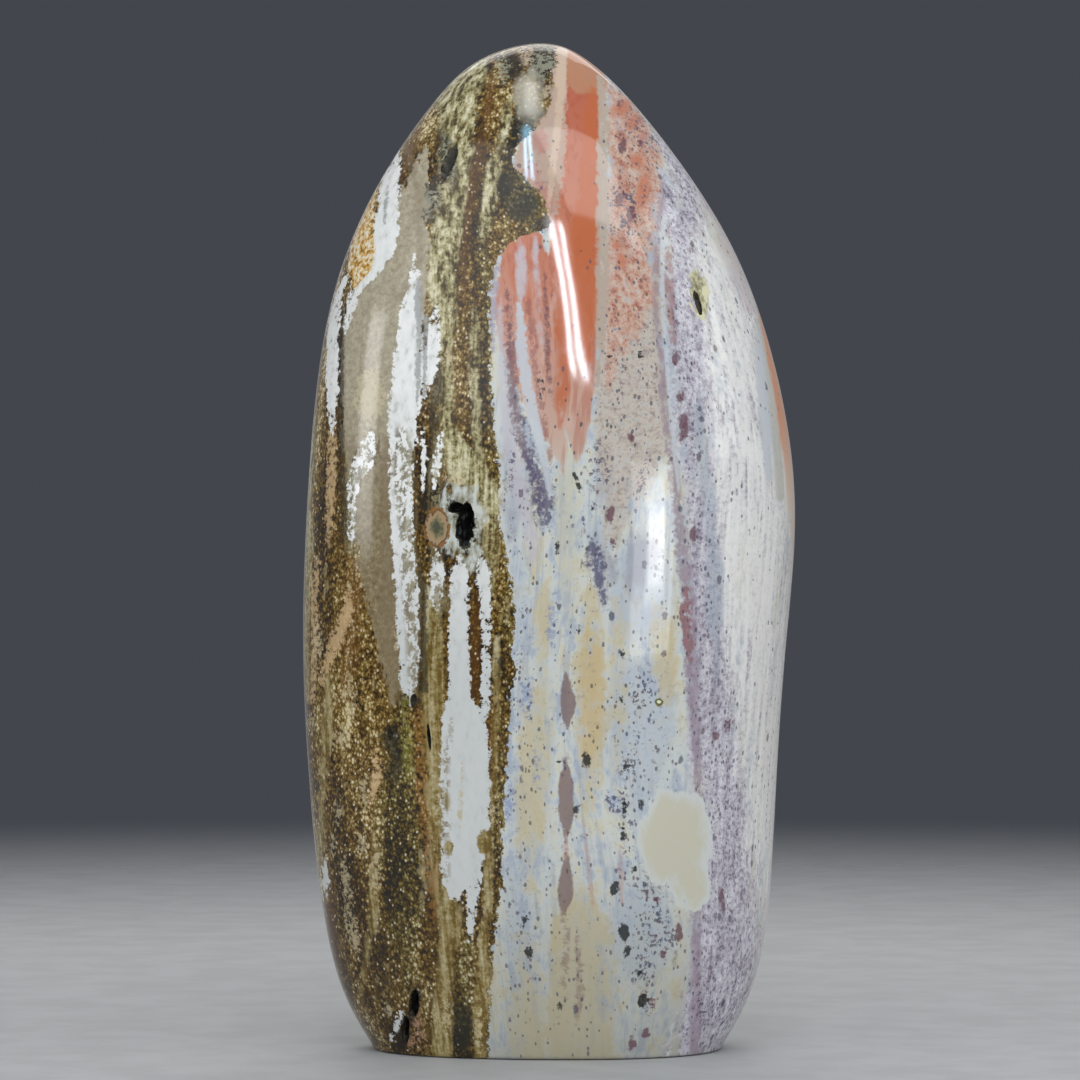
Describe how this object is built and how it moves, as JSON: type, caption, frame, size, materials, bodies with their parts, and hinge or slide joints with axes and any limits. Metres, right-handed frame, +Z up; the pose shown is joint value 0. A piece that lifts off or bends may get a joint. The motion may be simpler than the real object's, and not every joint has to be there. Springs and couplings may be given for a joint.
{
  "type": "polished jasper freeform",
  "caption": "Polished upright freeform of ocean jasper with a rounded tip, a domed front with small open pits, softly flattened back and a sawn flat foot.",
  "frame": {"origin": "on the sawn foot, under the middle of the stone's bounding box", "axes": "+Z up through the tip, +X to the right and -Y out of the front, as the picture shows the stone"},
  "size_m": [0.0982, 0.0669, 0.2007],
  "materials": {
    "stone": "polished"
  },
  "bodies": {
    "root": {"stone": "stone"}
  },
  "joints": []
}
